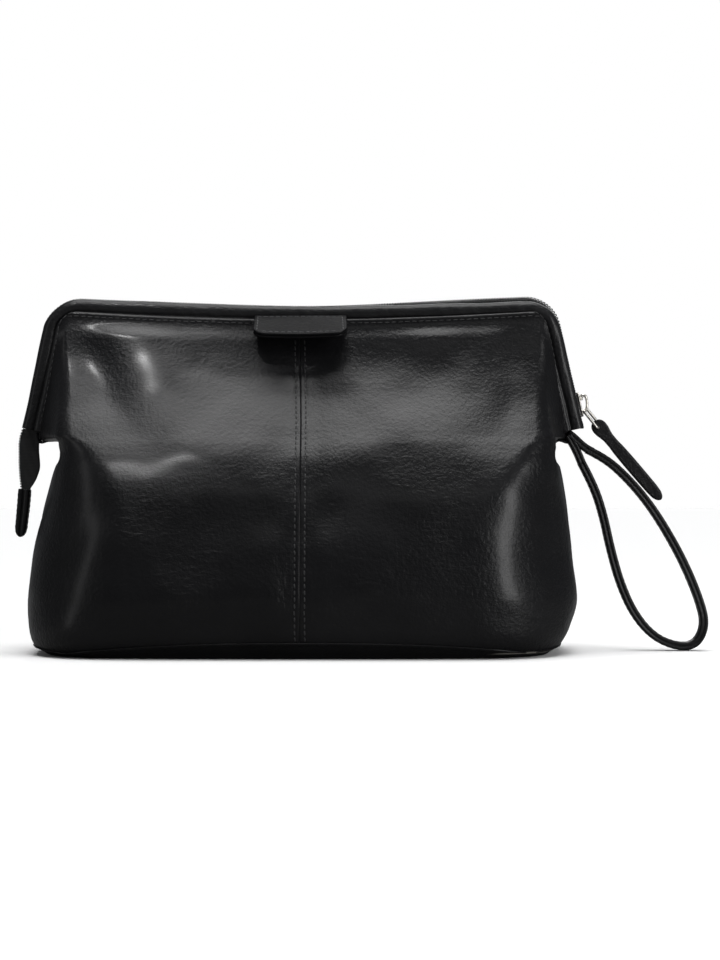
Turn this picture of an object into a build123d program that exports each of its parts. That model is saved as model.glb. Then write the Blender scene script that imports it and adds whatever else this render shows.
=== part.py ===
"""Framed-mouth leather wash bag with a zip, a wrist strap and grip tabs.

Millimetres, +Z up, the bag's front towards -Y. The origin is the centre of the base, on the
surface that the bag stands on. Two U-shaped frames turn on rivets at the bag's two ends and
carry the zip. The leather between the rigid lower body and the frames folds as they open.
"""

import os
from math import cos, hypot, radians, sin, tan

from build123d import *

# ---- the bag's body -----------------------------------------------------------------------
# each section is (height, half length, half width, corner radius) of the outer surface
BASE_SECTIONS = [(0, 119.5, 61.5, 32), (2.5, 123.5, 64, 34), (7.6, 127, 66, 36)]
WALL_SECTIONS = [(7.8, 127.2, 66.2, 36), (28, 133, 69, 40), (60, 129.2, 62.5, 38), (98, 120.5, 40, 30)]
ROOF_SECTIONS = [(98.6, 120.4, 39.7, 30), (155, 113.6, 10, 7)]
LEATHER = 1.8  # body leather with its backing
BASE_LEATHER = 2.0
LINING = 0.7
LINING_INSET = 2.3  # from the lower leather's outer face to the lining's
LINING_GAP = 0.3  # between the upper leather and its lining
LINING_FLOOR = (4.6, 120.3, 60.0, 31)  # height, half length, half width, corner radius
LINING_CUP_TOP = 97.6
BOARD_LEVEL, BOARD_THICKNESS, BOARD_CHAMFER = 2.2, 2.2, 0.6
BOARD_HALF_LENGTH, BOARD_HALF_WIDTH, BOARD_CORNER = 117, 59, 29
SEAM_GAP = 0.3  # between two panels at a seam
CUTTER = 200  # larger than the bag

# ---- the frames ---------------------------------------------------------------------------
PIVOT_X, PIVOT_Z = 132, 104
TOP_Z, TOP_HALF = 167.1, 118  # where the arm's line meets the top bar's
SAG, SAG_RADIUS = 4.8, 1070  # the top bar's middle hangs below its ends
FRAME_Y = 5.2  # each frame stands this far from the middle plane
FRAME_CORNER = 11
ROD_RADIUS = 2.0
ROD_START = 3.6  # distance up the arm, from the pivot
CHANNEL_RADIUS, CHANNEL_BORE = 3.7, 2.2
CHANNEL_START = 5.8
FLANGE_INNER, FLANGE_OUTER = -7.5, -2.0  # how far the sewn flange lies out from the rod's line
FLANGE_FACE, FLANGE_THICKNESS = 7.7, 1.2
LUG_RADIUS, LUG_THICKNESS, LUG_GAP = 3.2, 1.5, 0.1
LUG_NECK_RISE, LUG_NECK_RADIUS = 3.4, 1.7
PIN_RADIUS, PIN_CLEARANCE = 1.45, 0.05
PIN_HEAD_RADIUS, PIN_HEAD, PIN_HEAD_GAP, PIN_HEAD_FILLET = 2.6, 0.9, 0.1, 0.4
CHEEK_RADIUS = 3.0
INNER_CHEEK, OUTER_CHEEK = (128.2, 129.8), (133.9, 135.1)
TAB_BOTTOM, TAB_TOP, TAB_HALF_WIDTH = 93, 100.2, 1.4
TAB_INNER_END, TAB_LEFT_END, TAB_RIGHT_END = 121.9, 135.1, 136.6
EAR_FACE, EAR_THICKNESS = 5.2, 1.6
EAR_CLEARANCE = 4.1  # from the rod's line to the ear's outer edge
EAR_LOW, EAR_HIGH = 3, 48  # where the ear's outer edge starts and ends, up the arm
EAR_FOLD = [(118.9, 99.4), (126.0, 102.6)]  # the ear's bottom edge, from the wall outwards
EAR_TOP = (113.3, 151.5)

# ---- the zip ------------------------------------------------------------------------------
TAPE_BOTTOM, TAPE_TOP = 2.6, 2.9
TAPE_NEAR, TAPE_FAR = 0.7, 2.5
COIL_BOTTOM, COIL_TOP = 3.0, 4.1
COIL_NEAR, COIL_FAR = 0.75, 2.3
SLIDER_LOW, SLIDER_HIGH = 9, 21
SLIDER_INNER, SLIDER_INNER_HALF = (1.9, 2.3), 1.7
SLIDER_OUTER, SLIDER_OUTER_HALF = (4.4, 5.35), 3.6
NECK_LENGTH, NECK_HALF = 2.5, 0.45
CROWN_LOW, CROWN_HIGH, CROWN_TOP, CROWN_BAR, CROWN_HALF = 9.8, 20.2, 9.4, 1.0, 1.1
LINK_ALONG, LINK_OUT = 12.0, 7.4
LINK_ANGLE, LINK_LENGTH, LINK_HALF_WIDTH, LINK_WIRE, LINK_CORNER = -51, 11.0, 3.2, 0.6, 1.1
PULL_ANGLE, PULL_LENGTH, PULL_WAIST_AT = -49.5, 43.5, 9
PULL_HEAD, PULL_WAIST, PULL_TIP, PULL_LAYER, PULL_HOLE = 4.0, 2.9, 3.0, 1.45, 0.75
LAYER_HALF_GAP = 0.05  # between two layers of leather sewn back to back
ZIP_END_LOW, ZIP_END_HIGH, ZIP_END_HALF = -2.5, 3.0, 2.0
ZIP_END_INNER, ZIP_END_OUTER = 4.6, 6.1
TAIL_LINE = [(137.3, 104.6), (136.7, 96), (136.9, 88), (137.3, 80.4)]
TAIL_THICKNESS, TAIL_HALF_WIDTH = 1.6, 4.0
CAP_OUTLINE = [(-139.6, 80.2), (-133.4, 80.2), (-135.9, 56.2), (-141.3, 56.2)]
CAP_HALF_THICKNESS, CAP_CORNER = 2.0, 2.4

# ---- the grip tabs ------------------------------------------------------------------------
GRIP_X, GRIP_Y, GRIP_Z, GRIP_ANGLE = -1.6, 10.2, 161.6, 32
GRIP_HALF_LENGTH, GRIP_START, GRIP_REACH, GRIP_CORNER, GRIP_LAYER = 22.8, 0.8, 22, 6, 1.3

# ---- the wrist strap: its route in the X-Z plane, from the end tab out and back to it -----
STRAP_WIDTH, STRAP_THICKNESS = 8.0, 3.8
STRAP_ROUTE = [
    (137.6, 97.8), (146.3, 93.8), (157.4, 83.8), (167.4, 72.0), (176.4, 58.2), (185.0, 42.3),
    (191.9, 25.8), (195.4, 12.6), (190.4, 2.3), (179.8, 2.2), (169.0, 7.5), (160.0, 18.5),
    (153.6, 33.0), (149.0, 49.5), (145.5, 66.0), (140.8, 80.5), (134.9, 91.4),
]

ARM_LENGTH = hypot(PIVOT_X - TOP_HALF, TOP_Z - PIVOT_Z)
ARM_X = (TOP_HALF - PIVOT_X) / ARM_LENGTH
ARM_Z = (TOP_Z - PIVOT_Z) / ARM_LENGTH

os.makedirs("parts", exist_ok=True)


def save(piece, name):
    """Label a finished piece and write it to its own STEP file."""
    piece.label = name
    export_step(piece, f"parts/{name}.step")


def arm_point(along, out):
    """A point of the right arm's side view, up the arm from the pivot and out from its line."""
    return (PIVOT_X + along * ARM_X + out * ARM_Z, PIVOT_Z + along * ARM_Z - out * ARM_X)


def frame_line(out, start):
    """The frame's line, moved out and cut off above the pivots, drawn in the builder that calls it."""
    along = (TOP_Z + out - PIVOT_Z + out * ARM_X) / ARM_Z
    (low_x, low_z), (high_x, high_z) = arm_point(start, out), arm_point(along, out)
    corners = [(low_x, low_z), (high_x, high_z), (0, high_z - SAG), (-high_x, high_z), (-low_x, low_z)]
    return FilletPolyline(*corners, radius=[FRAME_CORNER + out, SAG_RADIUS, FRAME_CORNER + out])


def mirrored(piece, plane, name):
    """The same piece on the other side of a plane."""
    with BuildPart() as other:
        mirror(piece, about=plane)
    save(other.part, name)


def inset(sections, by):
    """The same sections, smaller all round."""
    return [(level, a - by, b - by, corner - by) for level, a, b, corner in sections]


def stack(sections, mode=Mode.ADD):
    """A loft through rounded rectangles, one above the other."""
    outlines = []
    for level, half_length, half_width, corner in sections:
        with BuildSketch(Plane.XY.offset(level)) as outline:
            RectangleRounded(2 * half_length, 2 * half_width, corner)
        outlines.append(outline.sketch.face())
    loft(sections=outlines, ruled=True, mode=mode)


def keep_quarter():
    """Cut a shell down to its front right quarter, half a seam's gap from both middle planes."""
    with Locations((SEAM_GAP / 2, -SEAM_GAP / 2, 0)):
        Box(CUTTER, CUTTER, 2 * CUTTER, align=(Align.MIN, Align.MAX, Align.CENTER), mode=Mode.INTERSECT)


def band(near, thickness, inner, outer, start):
    """A flat strip that follows the frame, from near to near + thickness in front of the middle."""
    with BuildSketch(Plane.XZ.offset(near)) as strip:
        with BuildLine():
            outside = frame_line(outer, start)
            inside = frame_line(inner, start)
            Line(outside @ 0, inside @ 0)
            Line(outside @ 1, inside @ 1)
        make_face()
    extrude(strip.sketch, amount=thickness)


def side_plate(points, half_width):
    """A plate with an outline in the X-Z plane, as thick as twice its half width."""
    with BuildSketch(Plane.XZ) as outline:
        with BuildLine():
            Polyline(*points, close=True)
        make_face()
    extrude(outline.sketch, amount=half_width, both=True)


def arm_block(low, high, inner, outer, half_width, mode=Mode.ADD):
    """A block on the right arm, between two heights up it and two distances out from it."""
    with BuildSketch(Plane.XZ) as outline:
        with BuildLine():
            Polyline(arm_point(low, inner), arm_point(low, outer), arm_point(high, outer),
                     arm_point(high, inner), close=True)
        make_face()
    extrude(outline.sketch, amount=half_width, both=True, mode=mode)


# ---- base ---------------------------------------------------------------------------------
with BuildPart() as base_panel:
    stack(BASE_SECTIONS)
    floor, _, rim = inset(BASE_SECTIONS, BASE_LEATHER)
    stack([(BASE_LEATHER, *floor[1:]), rim], Mode.SUBTRACT)
save(base_panel.part, "base_panel")

with BuildPart() as base_board:
    with BuildSketch(Plane.XY.offset(BOARD_LEVEL)):
        RectangleRounded(2 * BOARD_HALF_LENGTH, 2 * BOARD_HALF_WIDTH, BOARD_CORNER)
    extrude(amount=BOARD_THICKNESS)
    chamfer(base_board.edges().group_by(Axis.Z)[-1], BOARD_CHAMFER)
save(base_board.part, "base_board")

# ---- lower leather panels, four quarters that meet at the seams ----------------------------
with BuildPart() as front_right_lower:
    stack(WALL_SECTIONS)
    stack(inset(WALL_SECTIONS, LEATHER), Mode.SUBTRACT)
    keep_quarter()
save(front_right_lower.part, "front_right_panel_lower")
mirrored(front_right_lower.part, Plane.YZ, "front_left_panel_lower")
mirrored(front_right_lower.part, Plane.XZ, "rear_right_panel_lower")
with BuildPart() as rear_left_lower:
    with PolarLocations(0, 1, start_angle=180):
        add(front_right_lower.part)
save(rear_left_lower.part, "rear_left_panel_lower")

# ---- upper leather panels, each with its ear towards the frame's arm ----------------------
with BuildPart() as front_right_upper:
    stack(ROOF_SECTIONS)
    stack(inset(ROOF_SECTIONS, LEATHER), Mode.SUBTRACT)
    keep_quarter()
    with BuildSketch(Plane.XZ.offset(EAR_FACE)):
        with BuildLine():
            Polyline(*EAR_FOLD, arm_point(EAR_LOW, -EAR_CLEARANCE),
                     arm_point(EAR_HIGH, -EAR_CLEARANCE), EAR_TOP, close=True)
        make_face()
    extrude(amount=EAR_THICKNESS)
save(front_right_upper.part, "front_right_panel_upper")
mirrored(front_right_upper.part, Plane.YZ, "front_left_panel_upper")
mirrored(front_right_upper.part, Plane.XZ, "rear_right_panel_upper")
with BuildPart() as rear_left_upper:
    with PolarLocations(0, 1, start_angle=180):
        add(front_right_upper.part)
save(rear_left_upper.part, "rear_left_panel_upper")

# ---- lining: a cup in the lower body, and two curtains above it ---------------------------
with BuildPart() as lining_cup:
    cup = [LINING_FLOOR] + inset(WALL_SECTIONS, LINING_INSET)
    cup[-1] = (LINING_CUP_TOP, *cup[-1][1:])
    stack(cup)
    hollow = inset(cup, LINING)
    hollow[0] = (LINING_FLOOR[0] + LINING, *hollow[0][1:])
    stack(hollow, Mode.SUBTRACT)
save(lining_cup.part, "lining_cup")

with BuildPart() as front_lining_upper:
    stack(inset(ROOF_SECTIONS, LEATHER + LINING_GAP))
    stack(inset(ROOF_SECTIONS, LEATHER + LINING_GAP + LINING), Mode.SUBTRACT)
    with Locations((0, -SEAM_GAP / 2, 0)):
        Box(2 * CUTTER, CUTTER, 2 * CUTTER, align=(Align.CENTER, Align.MAX, Align.CENTER),
            mode=Mode.INTERSECT)
save(front_lining_upper.part, "front_lining_upper")
mirrored(front_lining_upper.part, Plane.XZ, "rear_lining_upper")


# ---- frames -------------------------------------------------------------------------------
def lugs(inner_x):
    """A flat eye at each end of a frame's rod, with the hole for its rivet."""
    with BuildSketch(Plane.YZ.offset(inner_x), Plane.YZ.offset(-inner_x - LUG_THICKNESS)) as eyes:
        with Locations((0, PIVOT_Z)):
            Circle(LUG_RADIUS)
        with Locations((-FRAME_Y, PIVOT_Z + LUG_NECK_RISE)):
            Circle(LUG_NECK_RADIUS)
        make_hull()
        with Locations((0, PIVOT_Z)):
            Circle(PIN_RADIUS + PIN_CLEARANCE, mode=Mode.SUBTRACT)
    extrude(eyes.sketch, amount=LUG_THICKNESS)


def rod_sweep(start, radius, mode=Mode.ADD):
    """A round bar along the frame's line."""
    with BuildLine(Plane.XZ.offset(FRAME_Y)) as line:
        frame_line(0, start)
    path = line.wires()[0]
    with BuildSketch(Plane(origin=path @ 0, z_dir=path % 0)) as section:
        Circle(radius)
    sweep(section.sketch, path=path, mode=mode)


with BuildPart() as front_frame:
    rod_sweep(ROD_START, ROD_RADIUS)
    lugs(PIVOT_X - LUG_GAP - LUG_THICKNESS)
save(front_frame.part, "front_frame_rod")

with BuildPart() as rear_frame_turned:
    rod_sweep(ROD_START, ROD_RADIUS)
    lugs(PIVOT_X + LUG_GAP)
mirrored(rear_frame_turned.part, Plane.XZ, "rear_frame_rod")

with BuildPart() as front_channel:
    rod_sweep(CHANNEL_START, CHANNEL_RADIUS)
    band(FLANGE_FACE, FLANGE_THICKNESS, FLANGE_INNER, FLANGE_OUTER, CHANNEL_START)
    rod_sweep(CHANNEL_START, CHANNEL_BORE, Mode.SUBTRACT)
save(front_channel.part, "front_channel")
mirrored(front_channel.part, Plane.XZ, "rear_channel")


# ---- rivets and the leather end tabs that hold them ---------------------------------------
def end_tab(outer_end):
    """A leather block under the pivot, with a cheek each side of the frames' lugs."""
    with BuildSketch(Plane.XY.offset(TAB_BOTTOM)) as block:
        with Locations(((TAB_INNER_END + outer_end) / 2, 0)):
            Rectangle(outer_end - TAB_INNER_END, 2 * TAB_HALF_WIDTH)
    extrude(block.sketch, amount=TAB_TOP - TAB_BOTTOM)
    for near, far in (INNER_CHEEK, OUTER_CHEEK):
        with BuildSketch(Plane.YZ.offset(near)) as cheek:
            with Locations((0, PIVOT_Z)):
                Circle(CHEEK_RADIUS)
            with Locations((0, TAB_TOP - 1)):
                Rectangle(2 * TAB_HALF_WIDTH, 1)
            make_hull()
            with Locations((0, PIVOT_Z)):
                Circle(PIN_RADIUS + PIN_CLEARANCE, mode=Mode.SUBTRACT)
        extrude(cheek.sketch, amount=far - near)


with BuildPart() as right_end_tab:
    end_tab(TAB_RIGHT_END)
save(right_end_tab.part, "right_end_tab")

with BuildPart() as left_end_tab_turned:
    end_tab(TAB_LEFT_END)
mirrored(left_end_tab_turned.part, Plane.YZ, "left_end_tab")

with BuildPart() as right_rivet:
    inner_head = INNER_CHEEK[0] - PIN_HEAD_GAP - PIN_HEAD
    outer_head = OUTER_CHEEK[1] + PIN_HEAD_GAP
    with BuildSketch(Plane.YZ.offset(inner_head)):
        with Locations((0, PIVOT_Z)):
            Circle(PIN_RADIUS)
    extrude(amount=outer_head + PIN_HEAD - inner_head)
    with BuildSketch(Plane.YZ.offset(inner_head), Plane.YZ.offset(outer_head)):
        with Locations((0, PIVOT_Z)):
            Circle(PIN_HEAD_RADIUS)
    extrude(amount=PIN_HEAD)
    fillet(right_rivet.edges().filter_by(GeomType.CIRCLE).sort_by(Axis.X)[0], PIN_HEAD_FILLET)
    fillet(right_rivet.edges().filter_by(GeomType.CIRCLE).sort_by(Axis.X)[-1], PIN_HEAD_FILLET)
save(right_rivet.part, "right_rivet")
mirrored(right_rivet.part, Plane.YZ, "left_rivet")

# ---- zip: a tape and a row of teeth on each frame -----------------------------------------
with BuildPart() as front_zip_tape:
    band(TAPE_NEAR, TAPE_FAR - TAPE_NEAR, TAPE_BOTTOM, TAPE_TOP, CHANNEL_START)
save(front_zip_tape.part, "front_zip_tape")
mirrored(front_zip_tape.part, Plane.XZ, "rear_zip_tape")

with BuildPart() as front_zip_teeth:
    band(COIL_NEAR, COIL_FAR - COIL_NEAR, COIL_BOTTOM, COIL_TOP, CHANNEL_START)
save(front_zip_teeth.part, "front_zip_teeth")
mirrored(front_zip_teeth.part, Plane.XZ, "rear_zip_teeth")

with BuildPart() as zip_end:
    arm_block(ZIP_END_LOW, ZIP_END_HIGH, ZIP_END_INNER, ZIP_END_OUTER, ZIP_END_HALF)
save(zip_end.part, "zip_end")

# ---- zip slider, link and leather pull ----------------------------------------------------
with BuildPart() as zip_slider:
    arm_block(SLIDER_LOW, SLIDER_HIGH, *SLIDER_INNER, SLIDER_INNER_HALF)
    arm_block(SLIDER_LOW, SLIDER_HIGH, *SLIDER_OUTER, SLIDER_OUTER_HALF)
    arm_block(SLIDER_LOW, SLIDER_LOW + NECK_LENGTH, SLIDER_INNER[0], SLIDER_OUTER[1], NECK_HALF)
    arm_block(CROWN_LOW, CROWN_HIGH, SLIDER_OUTER[0], CROWN_TOP, CROWN_HALF)
    arm_block(CROWN_LOW + CROWN_BAR, CROWN_HIGH - CROWN_BAR, SLIDER_OUTER[1], CROWN_TOP - CROWN_BAR,
              2 * CROWN_HALF, Mode.SUBTRACT)
save(zip_slider.part, "zip_slider")

link_x, link_z = arm_point(LINK_ALONG, LINK_OUT)
pull_x = link_x + LINK_LENGTH * cos(radians(LINK_ANGLE))
pull_z = link_z + LINK_LENGTH * sin(radians(LINK_ANGLE))
link_plane = Plane(
    origin=(link_x, 0, link_z),
    x_dir=(cos(radians(LINK_ANGLE)), 0, sin(radians(LINK_ANGLE))),
    z_dir=(-sin(radians(LINK_ANGLE)), 0, cos(radians(LINK_ANGLE))),
)
with BuildPart() as pull_link:
    with BuildLine(link_plane) as wire_line:
        Polyline((0, LINK_HALF_WIDTH), (LINK_LENGTH, LINK_HALF_WIDTH), (LINK_LENGTH, -LINK_HALF_WIDTH),
                 (0, -LINK_HALF_WIDTH), close=True)
        fillet(wire_line.vertices(), LINK_CORNER)
    loop = wire_line.wires()[0]
    with BuildSketch(Plane(origin=loop @ 0, z_dir=loop % 0)):
        Circle(LINK_WIRE)
    sweep(path=loop)
save(pull_link.part, "pull_link")


def pull_layer(offset):
    """One layer of the leather pull, from its round head down to its round tip."""
    axis = Vector(cos(radians(PULL_ANGLE)), sin(radians(PULL_ANGLE)))
    across = Vector(-axis.Y, axis.X)
    head = Vector(pull_x, pull_z)
    waist = head + axis * PULL_WAIST_AT
    tip = head + axis * PULL_LENGTH
    with BuildSketch(Plane.XZ.offset(offset)) as layer:
        with Locations(head):
            Circle(PULL_HEAD)
        with BuildLine():
            Polyline(head + across * PULL_HEAD, waist + across * PULL_WAIST, tip + across * PULL_TIP,
                     tip - across * PULL_TIP, waist - across * PULL_WAIST, head - across * PULL_HEAD,
                     close=True)
        make_face()
        with Locations(tip):
            Circle(PULL_TIP)
        with Locations(head):
            Circle(PULL_HOLE, mode=Mode.SUBTRACT)
    extrude(layer.sketch, amount=PULL_LAYER)


with BuildPart() as pull_front:
    pull_layer(LAYER_HALF_GAP)
save(pull_front.part, "pull_front")
with BuildPart() as pull_back:
    pull_layer(-LAYER_HALF_GAP - PULL_LAYER)
save(pull_back.part, "pull_back")

# ---- zip tail at the left end: loose tape with a leather cap -------------------------------
with BuildPart() as zip_tail_tape:
    near = [(-x + TAIL_THICKNESS / 2, z) for x, z in TAIL_LINE]
    far = [(-x - TAIL_THICKNESS / 2, z) for x, z in reversed(TAIL_LINE)]
    side_plate(near + far, TAIL_HALF_WIDTH)
save(zip_tail_tape.part, "zip_tail_tape")

with BuildPart() as zip_tail_cap:
    side_plate(CAP_OUTLINE, CAP_HALF_THICKNESS)
    fillet(zip_tail_cap.edges().filter_by(Axis.Y).group_by(Axis.Z)[0], CAP_CORNER)
save(zip_tail_cap.part, "zip_tail_cap")


# ---- grip tabs: two layers of leather each, hinged along their sewn edge -------------------
def grip_layer(offset):
    """One layer of the front tab, reaching forwards and down from the channel."""
    tilt = radians(GRIP_ANGLE)
    plane = Plane(origin=(0, -GRIP_Y, GRIP_Z), x_dir=(1, 0, 0), z_dir=(0, sin(tilt), -cos(tilt)))
    length = GRIP_REACH - GRIP_START
    with BuildSketch(plane.offset(offset)) as layer:
        with Locations((GRIP_X, GRIP_START + length / 2)):
            Rectangle(2 * GRIP_HALF_LENGTH, length)
    extrude(layer.sketch, amount=GRIP_LAYER)


def lower_corners(layer):
    """The two short edges at the free corners of a grip tab's layer."""
    return layer.edges().filter_by(lambda edge: edge.length < 1.5 * GRIP_LAYER).group_by(Axis.Y)[0]


with BuildPart() as front_grip_outer:
    grip_layer(-LAYER_HALF_GAP - GRIP_LAYER)
    fillet(lower_corners(front_grip_outer), GRIP_CORNER)
save(front_grip_outer.part, "front_grip_outer")
mirrored(front_grip_outer.part, Plane.XZ, "rear_grip_outer")
with BuildPart() as front_grip_inner:
    grip_layer(LAYER_HALF_GAP)
    fillet(lower_corners(front_grip_inner), GRIP_CORNER)
save(front_grip_inner.part, "front_grip_inner")
mirrored(front_grip_inner.part, Plane.XZ, "rear_grip_inner")


# ---- wrist strap --------------------------------------------------------------------------
def corner_radii(route):
    """The largest arc that each corner's two runs allow, with straight stretches left between."""
    radii = []
    for before, at, after in zip(route, route[1:], route[2:]):
        run_in, run_out = Vector(*at) - Vector(*before), Vector(*after) - Vector(*at)
        turn = radians(run_in.get_angle(run_out))
        radii.append(0.45 * min(run_in.length, run_out.length) / tan(turn / 2))
    return radii


with BuildPart() as wrist_strap:
    radii = corner_radii(STRAP_ROUTE)
    with BuildLine(Plane.XZ) as strap_line:
        FilletPolyline(*STRAP_ROUTE, radius=radii)
    route = strap_line.wires()[0]
    with BuildSketch(Plane(origin=route @ 0, x_dir=(0, 1, 0), z_dir=route % 0)):
        Rectangle(STRAP_WIDTH, STRAP_THICKNESS)
    sweep(path=route)
save(wrist_strap.part, "wrist_strap")
print("strap radii", [round(radius, 1) for radius in radii])
print("strap length", round(route.length, 1), "volume over section times length",
      round(wrist_strap.part.volume / (STRAP_WIDTH * STRAP_THICKNESS * route.length), 4))
print("link pivot", round(link_x, 2), round(link_z, 2), "pull pivot", round(pull_x, 2), round(pull_z, 2))
print("arm direction", round(ARM_X, 5), round(ARM_Z, 5))
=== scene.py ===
"""Looks of the framed leather wash bag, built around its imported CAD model.

All coordinates in this script are millimetres in the model's frame, the front towards -Y;
make() and the calls that take points turn them into Blender's metres.
"""
import math

import bpy
import numpy as np
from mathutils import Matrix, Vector


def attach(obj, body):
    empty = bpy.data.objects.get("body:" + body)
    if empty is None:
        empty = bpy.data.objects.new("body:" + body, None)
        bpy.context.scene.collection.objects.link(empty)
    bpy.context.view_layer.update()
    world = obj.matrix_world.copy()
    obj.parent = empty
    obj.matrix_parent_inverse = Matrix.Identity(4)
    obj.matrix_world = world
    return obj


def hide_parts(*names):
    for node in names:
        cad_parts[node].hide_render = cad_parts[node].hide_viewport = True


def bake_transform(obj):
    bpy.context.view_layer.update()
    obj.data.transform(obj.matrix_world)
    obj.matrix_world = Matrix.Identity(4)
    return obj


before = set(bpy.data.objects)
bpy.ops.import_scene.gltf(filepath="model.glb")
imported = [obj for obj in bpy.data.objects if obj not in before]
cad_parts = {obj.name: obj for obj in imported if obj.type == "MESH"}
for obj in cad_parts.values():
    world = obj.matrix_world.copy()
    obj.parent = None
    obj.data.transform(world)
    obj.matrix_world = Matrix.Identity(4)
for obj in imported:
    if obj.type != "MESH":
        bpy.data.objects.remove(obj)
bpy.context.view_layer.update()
MM = 0.001
ENDS = (("front", -1), ("rear", 1))  # each with its side of the middle plane

# ---- driving dimensions, as in the CAD model -----------------------------------------------
PIVOT_X, PIVOT_Z = 132.0, 104.0
TOP_HALF, TOP_Z = 118.0, 167.1
SAG, SAG_SOFTENING = 4.8, 22.0
FRAME_Y = 5.2
FRAME_CORNER = 13.0
CORNER_RUN = 0.8 * FRAME_CORNER  # of the arm and of the top bar, cut off by the corner
ROLL_RADIUS = 3.7
LEATHER = 1.3
ARM = math.hypot(TOP_HALF - PIVOT_X, TOP_Z - PIVOT_Z)
ARM_X, ARM_Z = (TOP_HALF - PIVOT_X) / ARM, (TOP_Z - PIVOT_Z) / ARM

STRAP_WIDTH, STRAP_THICKNESS = 8.0, 3.8
# the strap's centre line from one end round to the other, as (x, z)
STRAP_ROUTE = [
    (137.6, 97.8), (146.3, 93.8), (157.4, 83.8), (167.4, 72.0), (176.4, 58.2), (185.0, 42.3),
    (191.9, 25.8), (195.4, 12.6), (190.4, 2.3), (179.8, 2.2), (169.0, 7.5), (160.0, 18.5),
    (153.6, 33.0), (149.0, 49.5), (145.5, 66.0), (140.8, 80.5), (134.9, 91.4),
]

FLOOR_AROUND, FLOOR_SEEN, WORLD_AROUND = 0.22, 0.92, 0.1

scene = bpy.context.scene
scene.view_settings.view_transform = "Standard"


# ---- camera, floor and lights --------------------------------------------------------------
def add_camera():
    """A long lens, level with the bag's middle, square to its front."""
    data = bpy.data.cameras.new("camera")
    data.lens = 92.4
    data.sensor_fit = "VERTICAL"
    data.sensor_height = 36
    camera = bpy.data.objects.new("camera", data)
    camera.location = (0.0271, -1.2, 0.083)
    camera.rotation_euler = (math.pi / 2, 0, 0)
    scene.collection.objects.link(camera)
    scene.camera = camera


def add_light(name, kind, place, target, energy, **settings):
    """A light at a place, turned towards a target, with the light's own settings."""
    data = bpy.data.lights.new(name, kind)
    data.energy = energy
    for setting, value in settings.items():
        setattr(data, setting, value)
    light = bpy.data.objects.new(name, data)
    light.location = place
    light.rotation_euler = (Vector(target) - Vector(place)).to_track_quat("-Z", "Y").to_euler()
    scene.collection.objects.link(light)


def mix_for_camera(tree, around, seen, output):
    """One shader for what the camera sees, another for what lights the bag and shows in its gloss."""
    rays = tree.nodes.new("ShaderNodeLightPath")
    mix = tree.nodes.new("ShaderNodeMixShader")
    tree.links.new(rays.outputs["Is Camera Ray"], mix.inputs["Fac"])
    tree.links.new(around, mix.inputs[1])
    tree.links.new(seen, mix.inputs[2])
    tree.links.new(mix.outputs["Shader"], tree.nodes[output].inputs["Surface"])


def new_shader(tree, kind, **values):
    node = tree.nodes.new(kind)
    for socket, value in values.items():
        node.inputs[socket].default_value = value
    return node.outputs[0]


def add_stage():
    """A pale floor and a pale studio, both darker for all but the camera's rays."""
    mesh = bpy.data.meshes.new("studio_floor")
    reach = 6
    mesh.from_pydata([(-reach, -reach, 0), (reach, -reach, 0), (reach, reach, 0), (-reach, reach, 0)],
                     [], [(0, 1, 2, 3)])
    floor = bpy.data.objects.new("studio_floor", mesh)
    scene.collection.objects.link(floor)
    mat = bpy.data.materials.new("studio_floor")
    mat.use_nodes = True
    around, seen = (new_shader(mat.node_tree, "ShaderNodeBsdfDiffuse", Color=(albedo, albedo, albedo, 1))
                    for albedo in (FLOOR_AROUND, FLOOR_SEEN))
    mix_for_camera(mat.node_tree, around, seen, "Material Output")
    mesh.materials.append(mat)
    world = bpy.data.worlds.new("studio")
    world.use_nodes = True
    tree = world.node_tree
    around = tree.nodes["Background"]
    around.inputs["Color"].default_value = (0.93, 0.96, 1, 1)
    around.inputs["Strength"].default_value = WORLD_AROUND
    seen = new_shader(tree, "ShaderNodeBackground", Color=(1, 1, 1, 1), Strength=1.0)
    mix_for_camera(tree, around.outputs["Background"], seen, "World Output")
    scene.world = world


add_camera()
add_stage()
# the suns' wide discs are also the softboxes that the leather reflects
add_light("overhead", "SUN", (0.0, 0.0, 1.0), (0, 0, 0), 2.7, angle=math.radians(44))
add_light("overhead_rear", "SUN", (0.1, 0.85, 0.5), (0, 0, 0), 0.7, angle=math.radians(40))
# a narrow spot, which lights one small round patch of the upper left leather
add_light("key", "SPOT", (-0.36, -0.92, 1.46), (-0.074, -0.02, 0.136), 120,
          spot_size=math.radians(3.0), spot_blend=0.9, shadow_soft_size=0.05)
for name, place, target, width, height, watts in (
        ("front_box", (0.0, -1.5, 1.25), (0, 0, 0.12), 1.1, 0.35, 1.1),
        ("right_strip", (1.0, -0.85, 0.35), (0.1, 0, 0.07), 0.45, 0.8, 8.5),
        ("left_strip", (-1.1, -0.5, 0.4), (-0.1, 0, 0.07), 0.2, 0.9, 1.0)):
    add_light(name, "AREA", place, target, watts, shape="RECTANGLE", size=width, size_y=height)


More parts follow.
